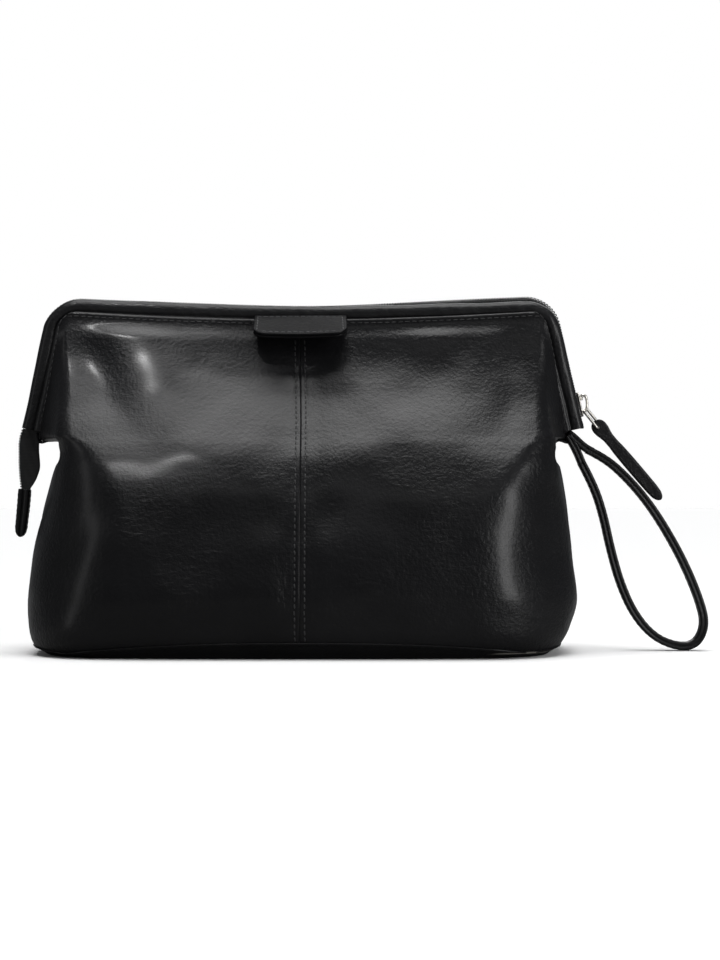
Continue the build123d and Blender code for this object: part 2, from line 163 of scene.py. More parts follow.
# ---- node helpers and materials ------------------------------------------------------------
class Shader:
    """A Principled material with short ways to add the nodes that this script needs."""

    def __init__(self, name, colour, roughness, **fixed):
        self.material = bpy.data.materials.new(name)
        self.material.use_nodes = True
        self.nodes = self.material.node_tree.nodes
        self.links = self.material.node_tree.links
        self.bsdf = self.nodes["Principled BSDF"]
        self.bsdf.inputs["Base Color"].default_value = (*colour, 1)
        self.bsdf.inputs["Roughness"].default_value = roughness
        for socket, value in fixed.items():
            self.bsdf.inputs[socket.replace("_", " ")].default_value = value
        self.place = self.nodes.new("ShaderNodeTexCoord").outputs["Object"]

    def texture(self, kind, output, place=None, **values):
        """A node that reads the surface's own coordinates, or those given as its place."""
        node = self.nodes.new(kind)
        for socket, value in values.items():
            node.inputs[socket].default_value = value
        self.links.new(place or self.place, node.inputs["Vector"])
        return node.outputs[output]

    def stretched(self, scale, turn=(0, 0, 0)):
        """The surface's own coordinates, scaled and turned."""
        return self.texture("ShaderNodeMapping", "Vector", Scale=scale, Rotation=turn)

    def noise(self, scale, detail=3.0, roughness=0.5, place=None, distortion=0.0):
        return self.texture("ShaderNodeTexNoise", "Fac", place, Scale=scale, Detail=detail,
                            Roughness=roughness, Distortion=distortion)

    def cells(self, scale, feature="F1", place=None):
        distance = self.texture("ShaderNodeTexVoronoi", "Distance", place, Scale=scale)
        distance.node.feature = feature
        return distance

    def waves(self, scale, place=None, distortion=0.0):
        return self.texture("ShaderNodeTexWave", "Fac", place, Scale=scale, Distortion=distortion)

    def math(self, kind, first, second):
        node = self.nodes.new("ShaderNodeMath")
        node.operation = kind
        for socket, value in zip(node.inputs, (first, second)):
            if isinstance(value, (int, float)):
                socket.default_value = value
            else:
                self.links.new(value, socket)
        return node.outputs["Value"]

    def ramp(self, source, low, high, start=0.0, end=1.0):
        """Source from start..end turned into low..high."""
        node = self.nodes.new("ShaderNodeMapRange")
        for name, value in (("From Min", start), ("From Max", end), ("To Min", low), ("To Max", high)):
            node.inputs[name].default_value = value
        self.links.new(source, node.inputs["Value"])
        return node.outputs["Result"]

    def colours(self, source, stops):
        node = self.nodes.new("ShaderNodeValToRGB")
        ramp = node.color_ramp
        while len(ramp.elements) < len(stops):
            ramp.elements.new(0.5)
        for element, (position, colour) in zip(ramp.elements, stops):
            element.position = position
            element.color = (*colour, 1)
        self.links.new(source, node.inputs["Fac"])
        return node.outputs["Color"]

    def set(self, socket, source):
        self.links.new(source, self.bsdf.inputs[socket])

    def tint(self, source, colour, *stops):
        """The base colour from a source, with (position, share of the colour) stops."""
        self.set("Base Color", self.colours(source, [(at, [c * share for c in colour]) for at, share in stops]))

    def bumps(self, *layers):
        """Bump from (height, strength, distance in millimetres) layers, one over the other."""
        normal = None
        for height, strength, distance in layers:
            node = self.nodes.new("ShaderNodeBump")
            node.inputs["Strength"].default_value = strength
            node.inputs["Distance"].default_value = distance * MM
            self.links.new(height, node.inputs["Height"])
            if normal is not None:
                self.links.new(normal, node.inputs["Normal"])
            normal = node.outputs["Normal"]
        self.links.new(normal, self.bsdf.inputs["Normal"])


def leather(name, colour, roughness, grain=1.0, wrinkles=1.0, gloss=1.0):
    """Finished black calf: fine pores, shallow creases that run across, rubbed and duller patches."""
    mat = Shader(name, colour, roughness, Coat_Weight=0.22 * gloss, Coat_Roughness=0.23,
                 Specular_IOR_Level=0.13 * gloss)
    pores = mat.cells(1150, place=mat.stretched((1, 1, 1.15)))
    pebbles = mat.cells(620, "SMOOTH_F1")
    fine = mat.noise(2600, 2, 0.6)
    creases = mat.noise(150, 5, 0.62, mat.stretched((0.9, 0.9, 2.6), (0, 0.25, 0)), 1.2)
    patches = mat.noise(26, 4, 0.55)
    where = mat.ramp(patches, 0, 1, 0.42, 0.66)
    folds = mat.math("MULTIPLY", creases, where)
    lines = mat.noise(420, 4, 0.6, mat.stretched((1.0, 1, 0.32), (0, 0.55, 0)), 1.5)
    mat.bumps((folds, 0.7 * wrinkles, 0.8), (lines, 0.45 * wrinkles, 0.4), (pebbles, 0.6 * grain, 0.32),
              (pores, 0.4 * grain, 0.2), (fine, 0.2 * grain, 0.06))
    scuffs = mat.noise(700, 2, 0.5, mat.stretched((0.05, 1, 1), (0.2, 0.6, 0.9)))
    scratch = mat.ramp(scuffs, 0, 0.1, 0.70, 0.78)
    dull = mat.ramp(patches, -0.05, 0.07)
    worn = mat.math("ADD", mat.math("ADD", dull, scratch), roughness)
    mat.set("Roughness", worn)
    shade = mat.noise(18, 5, 0.6)
    mat.tint(shade, colour, (0.3, 0.72), (0.7, 1.5))
    return mat.material


def fabric(name, colour, threads, roughness=0.85):
    """Plain woven cloth, with threads a metre."""
    mat = Shader(name, colour, roughness, Sheen_Weight=0.25, Sheen_Roughness=0.5)
    across = mat.waves(threads, mat.stretched((1, 0.2, 0.2), (0, 0, 0.2)), 0.3)
    along = mat.waves(threads, mat.stretched((1, 0.2, 0.2), (0, math.pi / 2, 0)), 0.3)
    weave = mat.math("MAXIMUM", across, along)
    fuzz = mat.noise(4000, 2, 0.6)
    mat.bumps((weave, 0.5, 0.12), (fuzz, 0.3, 0.05))
    mat.tint(weave, colour, (0.1, 0.6), (0.9, 1.35))
    return mat.material


def metal(name, colour, roughness):
    """Plated or plain metal, with fine rubbing."""
    mat = Shader(name, colour, roughness, Metallic=1.0)
    rubbed = mat.noise(900, 3, 0.6, mat.stretched((0.2, 1, 1), (0.3, 0.5, 0.2)))
    patches = mat.noise(160, 3, 0.5)
    change = mat.math("ADD", mat.ramp(rubbed, 0, 0.05), mat.ramp(patches, -0.04, 0.08))
    mat.set("Roughness", mat.math("ADD", change, roughness))
    mat.bumps((rubbed, 0.08, 0.03), (patches, 0.1, 0.06))
    return mat.material


def plain_polymer(name, colour, roughness):
    """Nylon or board: smooth, with a faint unevenness."""
    mat = Shader(name, colour, roughness, Specular_IOR_Level=0.45)
    uneven = mat.noise(500, 4, 0.6)
    mat.set("Roughness", mat.ramp(uneven, roughness - 0.08, roughness + 0.12))
    mat.bumps((uneven, 0.25, 0.1))
    return mat.material


def thread_material(name, colour):
    """Waxed, twisted sewing thread."""
    mat = Shader(name, colour, 0.55, Sheen_Weight=0.15)
    twist = mat.waves(1400, mat.stretched((1, 1, 1), (0.4, 0.7, 0.5)), 0.4)
    mat.bumps((twist, 0.6, 0.08))
    mat.tint(twist, colour, (0.2, 0.6), (0.8, 1.4))
    return mat.material


BODY_LEATHER = leather("body_leather", (0.0055, 0.0055, 0.0061), 0.32)
TRIM_LEATHER = leather("trim_leather", (0.0085, 0.0085, 0.0092), 0.40, grain=1.2, wrinkles=1.3)
GRIP_LEATHER = leather("grip_leather", (0.0055, 0.0055, 0.006), 0.42, grain=0.8, wrinkles=0.5, gloss=0.35)
BASE_MATERIAL = leather("base_leather", (0.0055, 0.0055, 0.006), 0.46, grain=0.8, wrinkles=0.4)
LINING = fabric("lining_cloth", (0.018, 0.018, 0.021), 900)
TAPE = fabric("zip_tape_cloth", (0.014, 0.014, 0.0145), 1000, 0.8)
NYLON = plain_polymer("coil_nylon", (0.012, 0.012, 0.0125), 0.38)
BOARD = plain_polymer("stiffener_board", (0.10, 0.095, 0.085), 0.8)
NICKEL = metal("polished_nickel", (0.64, 0.62, 0.58), 0.27)
STEEL = metal("blackened_steel", (0.055, 0.055, 0.06), 0.38)
THREAD = thread_material("black_thread", (0.012, 0.012, 0.013))
GREY_THREAD = thread_material("charcoal_thread", (0.055, 0.055, 0.058))


# ---- mesh helpers --------------------------------------------------------------------------
# a shape is its points and its faces, in millimetres
def make(name, shape, material):
    """A smooth mesh object from a shape, in metres, with its material."""
    points, faces = shape
    mesh = bpy.data.meshes.new(name)
    mesh.from_pydata((np.asarray(points, float) * MM).tolist(), [], [tuple(int(i) for i in f) for f in faces])
    mesh.materials.append(material)
    for polygon in mesh.polygons:
        polygon.use_smooth = True
    mesh.update()
    obj = bpy.data.objects.new(name, mesh)
    scene.collection.objects.link(obj)
    return obj


def put(name, shape, material, slot, body, *nodes):
    """A piece that rides on a body, and stands for the CAD nodes named."""
    piece = make(name, shape, material)
    if nodes:
        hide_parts(*nodes)
    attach(piece, body)
    return piece


def quads(rows, columns, start=0, round_columns=False, flip=False):
    """Faces of a grid of points, stored row by row."""
    r, c = np.meshgrid(np.arange(rows - 1), np.arange(columns if round_columns else columns - 1), indexing="ij")
    r2, c2 = r + 1, (c + 1) % columns
    faces = np.stack([r * columns + c, r * columns + c2, r2 * columns + c2, r2 * columns + c], -1)
    faces = faces.reshape(-1, 4) + start
    return faces[:, ::-1] if flip else faces


def unit(vectors):
    return vectors / np.maximum(np.linalg.norm(vectors, axis=-1, keepdims=True), 1e-12)


def curve(x, keys):
    """A smooth curve through (position, value) keys that doesn't overshoot, flat beyond its ends."""
    xs, ys = np.array(keys, float).T
    steps = np.diff(ys) / np.diff(xs)
    slopes = np.zeros(len(xs))
    for i in range(1, len(xs) - 1):
        if steps[i - 1] * steps[i] > 0:
            slopes[i] = 2 * steps[i - 1] * steps[i] / (steps[i - 1] + steps[i])
    x = np.clip(np.asarray(x, float), xs[0], xs[-1])
    i = np.clip(np.searchsorted(xs, x, "right") - 1, 0, len(xs) - 2)
    h = xs[i + 1] - xs[i]
    t = (x - xs[i]) / h
    return ((1 + 2 * t) * (1 - t) ** 2 * ys[i] + t * (1 - t) ** 2 * h * slopes[i]
            + t * t * (3 - 2 * t) * ys[i + 1] + t * t * (t - 1) * h * slopes[i + 1])


def smoothstep(value, low, high):
    t = np.clip((value - low) / (high - low), 0, 1)
    return t * t * (3 - 2 * t)


RIPPLES = 14  # waves added up


def ripple(points, size, seed):
    """Smooth seeded unevenness, mostly from -1 to 1, its bumps about size across."""
    rng = np.random.default_rng(seed)
    total = np.zeros(points.shape[:-1])
    for _ in range(RIPPLES):
        direction = unit(rng.normal(size=3)) * 2 * math.pi / (size * rng.uniform(1.2, 3.0))
        total += np.sin(points @ direction + rng.uniform(0, 2 * math.pi))
    return total / math.sqrt(RIPPLES)


def grid_normals(points):
    """Unit normals of a grid of points."""
    along_rows = np.gradient(points, axis=0)
    along_columns = np.gradient(points, axis=1)
    return unit(np.cross(along_columns, along_rows))


def slab(outer, inner, flip=False):
    """Points and faces of a closed shell between two grids."""
    rows, columns = outer.shape[:2]
    total = rows * columns
    index = np.arange(total).reshape(rows, columns)
    rim = np.concatenate([index[0, :], index[1:, -1], index[-1, -2::-1], index[-2:0:-1, 0]])
    after = np.roll(rim, -1)
    edge = np.stack([rim, rim + total, after + total, after], -1)
    faces = np.concatenate([quads(rows, columns), quads(rows, columns, total, flip=True), edge])
    if flip:
        faces = faces[:, ::-1]
    return np.concatenate([outer.reshape(-1, 3), inner.reshape(-1, 3)]), faces


def sections(rings):
    """Points and faces of a tube through rings of points, n x m x 3, with flat ends."""
    count, size = rings.shape[:2]
    faces = [tuple(f) for f in quads(count, size, round_columns=True)]
    faces.append(tuple(range(size))[::-1])
    faces.append(tuple(range((count - 1) * size, count * size)))
    return rings.reshape(-1, 3), faces


def turned(shape, way, mirror=1):
    """A shape with its faces turned over if way is -1, and its left and right swapped if mirror is -1."""
    points, faces = shape
    return points * np.array([mirror, 1, 1]), [face[::way] for face in faces]


def merged(parts):
    """Several (points, faces) joined into one."""
    points, faces, start = [], [], 0
    for part_points, part_faces in parts:
        points.append(np.asarray(part_points, float))
        faces.extend(tuple(int(i) + start for i in face) for face in part_faces)
        start += len(part_points)
    return np.concatenate(points), faces


def wire(spine, side, radius, count=5):
    """A round wire along a line of points."""
    tangent = unit(np.gradient(spine, axis=0))
    first = unit(np.cross(tangent, side))
    second = np.cross(tangent, first)
    ring = [spine + radius * (first * math.cos(a) + second * math.sin(a))
            for a in np.arange(count) * 2 * math.pi / count]
    return tube(ring)


def tube(lines):
    """Points and faces of a tube between lines of points that run along it."""
    return sections(np.transpose(np.array(lines), (1, 0, 2)))


def run(path):
    """The length from a path's start to each of its points."""
    return np.concatenate([[0], np.cumsum(np.linalg.norm(np.diff(path, axis=0), axis=1))])


def at_run(values, lengths, at):
    """A path's points or directions at lengths along it."""
    return np.stack([np.interp(at, lengths, column) for column in values.T], -1)


def resample(points, spacing):
    """Points at equal steps along a polyline, close to spacing apart."""
    points = np.asarray(points, float)
    lengths = run(points)
    return at_run(points, lengths, np.linspace(0, lengths[-1], max(2, int(round(lengths[-1] / spacing)) + 1)))


def swept(path, across, normal, half_width, half_thickness, outline):
    """A tube along a path, with the outline that belongs to its half width and thickness at each point."""
    half_width, half_thickness = (np.broadcast_to(a, len(path)) for a in (half_width, half_thickness))
    return sections(np.array([[p + a * x + n * z for x, z in outline(w, t)]
                              for p, a, n, w, t in zip(path, across, normal, half_width, half_thickness)]))


def layer(path, across, normal, half_width, half_thickness, steps=7):
    """A leather layer along a path: flat faces and round edges."""
    flat = np.linspace(-1, 1, steps)
    bend = np.linspace(-math.pi / 2, math.pi / 2, 6)[1:-1]

    def outline(w, t):
        t = min(t, w * 0.98)
        core = w - t
        return ([(x * core, t) for x in flat[::-1]] + [(-core - t * math.cos(b), -t * math.sin(b)) for b in bend]
                + [(x * core, -t) for x in flat] + [(core + t * math.cos(b), t * math.sin(b)) for b in bend])

    return swept(path, across, normal, half_width, half_thickness, outline)


def doubled(path, across, normal, half_width, half_thickness):
    """Two layers of leather edge to edge along a path, with rounded edges and a groove between."""
    def outline(h, t):
        edge = [(h - 0.3 * t, t), (h - 0.06 * t, t * 0.8), (h, t * 0.5), (h - 0.08 * t, t * 0.2)]
        right = edge + [(h - 0.35 * t, 0.0)] + [(x, -z) for x, z in edge[::-1]]
        left = [(-x, -z) for x, z in right]
        return right + [(h * 0.4, -t), (-h * 0.4, -t)] + left + [(-h * 0.4, t), (h * 0.4, t)]

    return swept(path, across, normal, half_width, half_thickness, outline)


def natural_spline(knots, values, at):
    """The natural cubic spline through values at knots."""
    count = len(knots)
    gaps = np.diff(knots)
    system, right = np.eye(count), np.zeros(values.shape)
    slopes = np.diff(values, axis=0) / gaps[:, None]
    for i in range(1, count - 1):
        system[i, i - 1:i + 2] = gaps[i - 1], 2 * (gaps[i - 1] + gaps[i]), gaps[i]
        right[i] = 6 * (slopes[i] - slopes[i - 1])
    bend = np.linalg.solve(system, right)
    i = np.clip(np.searchsorted(knots, at, "right") - 1, 0, count - 2)
    h, before, after = gaps[i][:, None], (at - knots[i])[:, None], (knots[i + 1] - at)[:, None]
    return (bend[i] * after ** 3 / (6 * h) + bend[i + 1] * before ** 3 / (6 * h)
            + (values[i] / h - bend[i] * h / 6) * after + (values[i + 1] / h - bend[i + 1] * h / 6) * before)


def across_and_out(path):
    """The directions across and out of a path that stays in an X-Z plane."""
    across = np.broadcast_to(np.array([0, 1.0, 0]), path.shape)
    return across, unit(np.cross(unit(np.gradient(path, axis=0)), across))


def side_path(route, spacing=0.8):
    """A smooth path in the X-Z plane through a few points, with its directions across and out."""
    route = np.array(route, float)
    steps = run(route)
    spline = natural_spline(steps, route, np.linspace(0, steps[-1], int(steps[-1] / spacing) + 2))
    path = np.stack([spline[:, 0], np.zeros(len(spline)), spline[:, 1]], -1)
    return path, *across_and_out(path)


# a stitch's rings: place along it, height and girth, as shares of its length and radius
STITCH = [(-0.5, -0.9, 0.55), (-0.38, -0.1, 0.95), (-0.15, 0.28, 1.0), (0.15, 0.28, 1.0),
          (0.38, -0.1, 0.95), (0.5, -0.9, 0.55)]
STITCH_TURN, STITCH_STRAY = 0.035, 0.05  # how unevenly the stitches lie


def stitches(path, normals, pitch, length, radius, slant, seed):
    """Points and faces of a row of sewn stitches lying on a surface along a path."""
    normals = np.broadcast_to(normals, path.shape)
    lengths = run(path)
    angles = np.arange(6) * math.pi / 3
    rng = np.random.default_rng(seed)
    parts = []
    for s in np.arange(pitch / 2, lengths[-1], pitch):
        normal = unit(at_run(normals, lengths, s))
        before, after = max(s - length / 2, 0), min(s + length / 2, lengths[-1])
        direction = unit(at_run(path, lengths, after) - at_run(path, lengths, before))
        side = unit(np.cross(normal, direction))
        direction = unit(direction + side * (slant + rng.normal(0, STITCH_TURN)))
        side = unit(np.cross(normal, direction))
        centre = at_run(path, lengths, s) + side * rng.normal(0, STITCH_STRAY)
        rings = [[centre + direction * along * length + normal * height * radius
                  + radius * girth * (side * math.cos(a) + normal * math.sin(a)) for a in angles]
                 for along, height, girth in STITCH]
        parts.append(sections(np.array(rings)))
    return merged(parts)


# ---- the frames' line ----------------------------------------------------------------------
LEFT, RIGHT = 1, 2  # also the columns of the body's table
SPLAY = {LEFT: 1.9, RIGHT: 0.7}  # how far each arm stands out from the CAD model's
FRAME_SHIFT = 0.3  # of the top bar to the left
CORNER_PULL = 1.9  # of the top left corner, inwards
FRONT_DROP = 1.1  # of the front frame's right corner, and the rear one's rise


def settle(points):
    """Points near the frame, moved with the real frame's shifted top bar and left corner."""
    x, z = points[..., 0], points[..., 2]
    x -= FRAME_SHIFT * smoothstep(z, 118, 165)
    x += CORNER_PULL * smoothstep(z, 157, 170) * smoothstep(-x, 95, 120)
    return points


def arm_point(along, out):
    """A point of the right arm's side view, up the arm from the pivot and out from its line."""
    return np.array([PIVOT_X + along * ARM_X + out * ARM_Z, PIVOT_Z + along * ARM_Z - out * ARM_X])


def top_height(x):
    """Height of the frame's sagging top bar."""
    return TOP_Z - SAG + SAG / TOP_HALF * np.sqrt(x ** 2 + SAG_SOFTENING ** 2)


def frame_line(start, spacing):
    """Points of both frames' line in side view, from the right arm's foot over to the left arm's,
    with the directions out from the bag's middle."""
    corner_x = TOP_HALF - CORNER_RUN
    low = arm_point(ARM - CORNER_RUN, 0)
    high = np.array([corner_x, float(top_height(corner_x))])
    centre = low - FRAME_CORNER * np.array([ARM_Z, -ARM_X])
    first = math.atan2(low[1] - centre[1], low[0] - centre[0])
    last = math.pi / 2 - SAG / TOP_HALF
    bend = [centre + FRAME_CORNER * np.array([math.cos(a), math.sin(a)])
            for a in np.linspace(first, last, 24)]
    shift = high[1] - bend[-1][1]
    top = [(x, float(top_height(x)) - shift) for x in np.linspace(bend[-1][0] - 2, 0, 60)]
    half = [arm_point(start, 0)] + bend + top
    points = half + [(-x, z) for x, z in half[-2::-1]]
    points = resample(points, spacing)
    tangent = unit(np.gradient(points, axis=0))
    out = np.stack([tangent[:, 1], -tangent[:, 0]], -1)
    points[:, 0] += SPLAY[RIGHT] * smoothstep(points[:, 0], 60, 112)
    points[:, 0] -= SPLAY[LEFT] * smoothstep(-points[:, 0], 60, 112)
    return points, out


def lean(x, z, side):
    """How far the frame on a side of the middle plane is raised at a point of its line."""
    return side * FRONT_DROP * smoothstep(x, -5, 95) * smoothstep(z, 118, 160)


def on_frame(points, out_dirs, out, y, side):
    """3-D points at a distance out from the frame's line and y from the middle plane."""
    x = points[:, 0] + out_dirs[:, 0] * out
    z = points[:, 1] + out_dirs[:, 1] * out
    line = np.stack([x, side * y * np.ones_like(x), z + lean(points[:, 0], points[:, 1], side)], -1)
    return settle(line)


# ---- the leather body ----------------------------------------------------------------------
# height, half length at the left and at the right end, half width, corner radius
BODY = np.array([
    (0.5, 124.0, 117.5, 59.5, 33), (3, 127.6, 121.6, 62.5, 36), (7.6, 130.4, 125.4, 66.2, 40),
    (13, 131.7, 128.3, 68, 45), (26, 132.8, 131.4, 69, 52), (45, 131.4, 129.6, 66.6, 54),
    (62, 127.9, 128.6, 62.8, 50), (77, 124.7, 127.2, 58.4, 42), (90, 120.8, 125.2, 52.4, 29),
    (98, 116.2, 121.8, 47.0, 18), (104, 115.2, 117.6, 42.2, 10.5), (115, 115.0, 115.4, 33.4, 8.5),
    (125, 115.0, 115.0, 26.2, 8.0), (135, 115.0, 114.9, 20.0, 7.4), (145, 115.2, 114.8, 15.4, 6.0),
    (156, 114.4, 114.0, 11.8, 3.2), (160.5, 113.0, 113.0, 10.6, 2.6), (165, 108.0, 108.0, 10.3, 2.0),
])
FOLD_LOW, FOLD_HIGH = 96.0, 104.0  # the ear's bottom fold
FOOT = {LEFT: 117.0, RIGHT: 120.8}  # where the end seam meets the fold
# the fold's two middle points: how far out from the foot, and their heights
FOLD_MIDDLE = {LEFT: (0.3, 0.9, 100.2, 101.5), RIGHT: (0.8, 2.6, 99.9, 101.1)}
# the lapped edge: length up the arm from the pivot, and distance out from the frame's line
EDGE_OUT = {LEFT: [(0, -4.8), (12, -4.7), (33, -4.4), (52, -3.8), (60, -2.8), (70, -2.2)],
            RIGHT: [(0, -4.8), (12, -4.1), (33, -3.8), (52, -3.2), (60, -2.4), (70, -2.2)]}
TOP_EDGE = 164.4
SEAM_BOTTOM, SEAM_CORNER = 7.4, 1.2
SEAM_SHIFT, SEAM_LEAN = 0.7, 0.9  # of the front seam to the left, and more at its top
NEAR_SEAM = [0.03, 0.4, 0.8, 1.3, 1.8, 2.3, 2.8, 3.4, 4.2, 5.4]
FRONT_STEPS, CORNER_STEPS, END_STEPS = 50, 24, 24
FRONT_BOW, WIDEST = 4.5, 69  # how far the front bows, and the body's half depth
ROWS = np.concatenate([[7.6, 8.3, 9.2, 10.4], np.arange(12, 94, 1.9), np.arange(94, 106, 0.8),
                       np.arange(106.5, 159, 1.6), [159.6, 161.0, 162.2, 163.1, 163.8, TOP_EDGE]])


def body(height, column):
    """The body's measure in a column of its table, at a height."""
    return curve(height, list(zip(BODY[:, 0], BODY[:, column])))


def end_of_row(height, side):
    """Where the front leather ends at a height: the end seam below the pivot, the arm above it."""
    low = np.minimum(height, FOLD_LOW)
    foot = FOOT[side]
    seam_x = curve(low, [(b[0], b[side]) for b in BODY[:9]] + [(FOLD_LOW, foot)])
    seam_x = np.minimum(seam_x, body(low, side) + 1.5)
    out = curve((height - PIVOT_Z) / ARM_Z, EDGE_OUT[side])
    along = (height - PIVOT_Z + out * ARM_X) / ARM_Z
    arm_x = PIVOT_X + SPLAY[side] + along * ARM_X + out * ARM_Z
    corner = arm_point(ARM - CORNER_RUN, -FRAME_CORNER)
    radius = FRAME_CORNER + out
    drop = height - corner[1]
    corner_x = corner[0] + SPLAY[side] + np.sqrt(np.maximum(radius ** 2 - drop ** 2, 0.0))
    arm_x = np.where(drop > -ARM_X * radius, np.minimum(corner_x, arm_x), arm_x)
    arm_y = -curve(height, [(104, 5.2), (110, 8.2), (118, 10.2), (165, 10.3)])
    t = (height - FOLD_LOW) / (FOLD_HIGH - FOLD_LOW)
    foot_x = arm_point(0.2, EDGE_OUT[side][0][1])[0] + SPLAY[side]
    first_out, second_out, first_z, second_z = FOLD_MIDDLE[side]
    fold_x = curve(t, [(0, foot - 0.4), (0.45, foot + first_out), (0.62, foot + second_out), (0.84, 123.6),
                       (1, foot_x)])
    fold_y = curve(t, [(0, 0), (0.45, -0.8), (0.8, -3.0), (1, -5.2)])
    fold_z = curve(t, [(0, FOLD_LOW), (0.45, first_z), (0.62, second_z), (0.84, 102.2), (1, 102.6)])
    folded, above = height > FOLD_LOW, height > FOLD_HIGH
    return tuple(np.where(above, arm, np.where(folded, fold, seam))
                 for arm, fold, seam in ((arm_x, fold_x, seam_x), (arm_y, fold_y, 0.0), (height, fold_z, low)))


def wall_points(height, part, share, side):
    """Points of the smooth outer surface of a front quarter, drawn to the right.

    part is 0 near the front seam, 1 on the front, 2 round the corner and 3 on the end."""
    length, width, radius = body(height, side), body(height, 3), body(height, 4)
    end_x, end_y, end_z = end_of_row(height, side)
    limit = end_x - curve(height, [(104, 8), (150, 2.0), (165, 1.6)])
    slant = 0.04 * width * (1 - smoothstep(height, 88, 98))
    corner_x = np.where(height > FOLD_HIGH, np.minimum(length, limit), length - slant)
    away_x, away_y = end_x - corner_x, end_y + width
    reach = np.hypot(away_x, away_y)
    turn = np.arctan2(away_y, away_x)
    tangent = np.minimum(radius * np.tan(turn / 2), 0.85 * reach)
    radius = tangent / np.tan(turn / 2)
    start = corner_x - tangent
    last_x, last_y = corner_x + away_x / reach * tangent, -width + away_y / reach * tangent
    angle = share * turn
    x = np.select([part == 0, part == 1, part == 2],
                  [share + 0 * height, 7 + (start - 7) * share, start + radius * np.sin(angle)],
                  last_x + (end_x - last_x) * share)
    y = np.select([part < 2, part == 2], [-width, -width + radius * (1 - np.cos(angle))],
                  last_y + (end_y - last_y) * share)
    to_end = np.select([part < 2, part == 2], [0 * height, 0.3 * share], 0.3 + 0.7 * share)
    z = height + (end_z - height) * smoothstep(to_end, 0, 1)
    # the front bows back towards its two ends
    bow = FRONT_BOW * (1 - smoothstep(height, 95, 140)) * width / WIDEST
    y = y + bow * (x / length) ** 2.4 * (-y / width)
    return np.stack([x, y, z], -1)


def quarter(side):
    """The smooth outer surface of a front quarter, rows upwards, columns from the front seam."""
    part = np.repeat([0, 1, 2, 3], [len(NEAR_SEAM), FRONT_STEPS, CORNER_STEPS, END_STEPS])
    share = np.concatenate([NEAR_SEAM, np.linspace(0, 1, FRONT_STEPS), np.linspace(0, 1, CORNER_STEPS + 2)[1:-1],
                            1 - (1 - np.linspace(0, 1, END_STEPS)) ** 1.5])
    bottom = wall_points(np.full(len(part), ROWS[0]), part, share, side)
    drop = seam_line(bottom[:, 0], bottom[:, 1]) - ROWS[0]
    height = ROWS[:, None] + drop[None, :] * (1 - smoothstep(ROWS, ROWS[0], 46))[:, None]
    grid = wall_points(height, part[None, :] + 0 * height, share[None, :] + 0 * height, side)
    sink = (top_height(0.0) - TOP_Z) * 0.97 * (1 - np.clip(np.abs(grid[..., 0]) / 109, 0, 1) ** 1.7)
    grid[..., 2] += sink * smoothstep(ROWS, 120, TOP_EDGE)[:, None]
    return grid


def seam_line(x, y):
    """Height of the seam between the base and the walls: low at the corners, higher between them."""
    front = 1 - np.clip(np.abs(x) / 116, 0, 1) ** 2.6
    side = 0.62 * (1 - np.clip(np.abs(y) / 60, 0, 1) ** 2.4)
    return SEAM_CORNER + (SEAM_BOTTOM - SEAM_CORNER) * np.maximum(front, side)


# soft dents and swells of the front: x, z, long and short reach, turn in degrees, height
FRONT_SHAPES = [
    (-76, 140, 32, 17, -47, 2.6), (-98, 136, 26, 9, -64, -1.3), (-54, 150, 30, 10, -42, -0.6),
    (-60, 96, 44, 13, -8, 0.5), (-95, 88, 30, 13, -40, -0.35), (-40, 60, 46, 16, 12, -1.2),
    (-98, 40, 34, 14, 60, 1.4), (-60, 24, 40, 9, 6, 0.8), (62, 112, 50, 12, 22, 1.2),
    (38, 84, 30, 11, 30, -0.4), (94, 62, 44, 15, 80, 1.2),
    (84, 28, 28, 10, -35, -0.9), (50, 40, 40, 13, -6, 0.8), (100, 132, 28, 7, 82, -0.9),
    (84, 140, 24, 8, 60, 0.8), (20, 132, 24, 10, 0, 0.7), (-24, 128, 22, 9, -20, -0.7),
]
REAR_SHAPES = [
    (70, 110, 40, 12, -25, 1.1), (-60, 92, 46, 13, 12, -1.0), (-96, 60, 32, 11, 75, 1.3),
    (92, 44, 30, 12, 60, -1.1), (20, 66, 40, 14, 8, 0.9), (-30, 134, 30, 10, 20, 0.9),
]


def dents(points, shapes):
    """How far a list of dents and swells moves each point out."""
    total = np.zeros(points.shape[:-1])
    for x, z, long, short, turn, height in shapes:
        c, s = math.cos(math.radians(turn)), math.sin(math.radians(turn))
        dx, dz = points[..., 0] - x, points[..., 2] - z
        along, away = dx * c + dz * s, -dx * s + dz * c
        total += height * np.exp(-(along / long) ** 2 - (away / short) ** 2)
    return total


# stitches' pitch, length, thread's radius and slant
SEAM_STITCH, LAP_STITCH = (3.1, 2.4, 0.32, 0.07), (3.3, 2.6, 0.21, 0.05)
QUARTERS = {"left": quarter(LEFT), "right": quarter(RIGHT)}
OUTER = {}
NORMALS = {}


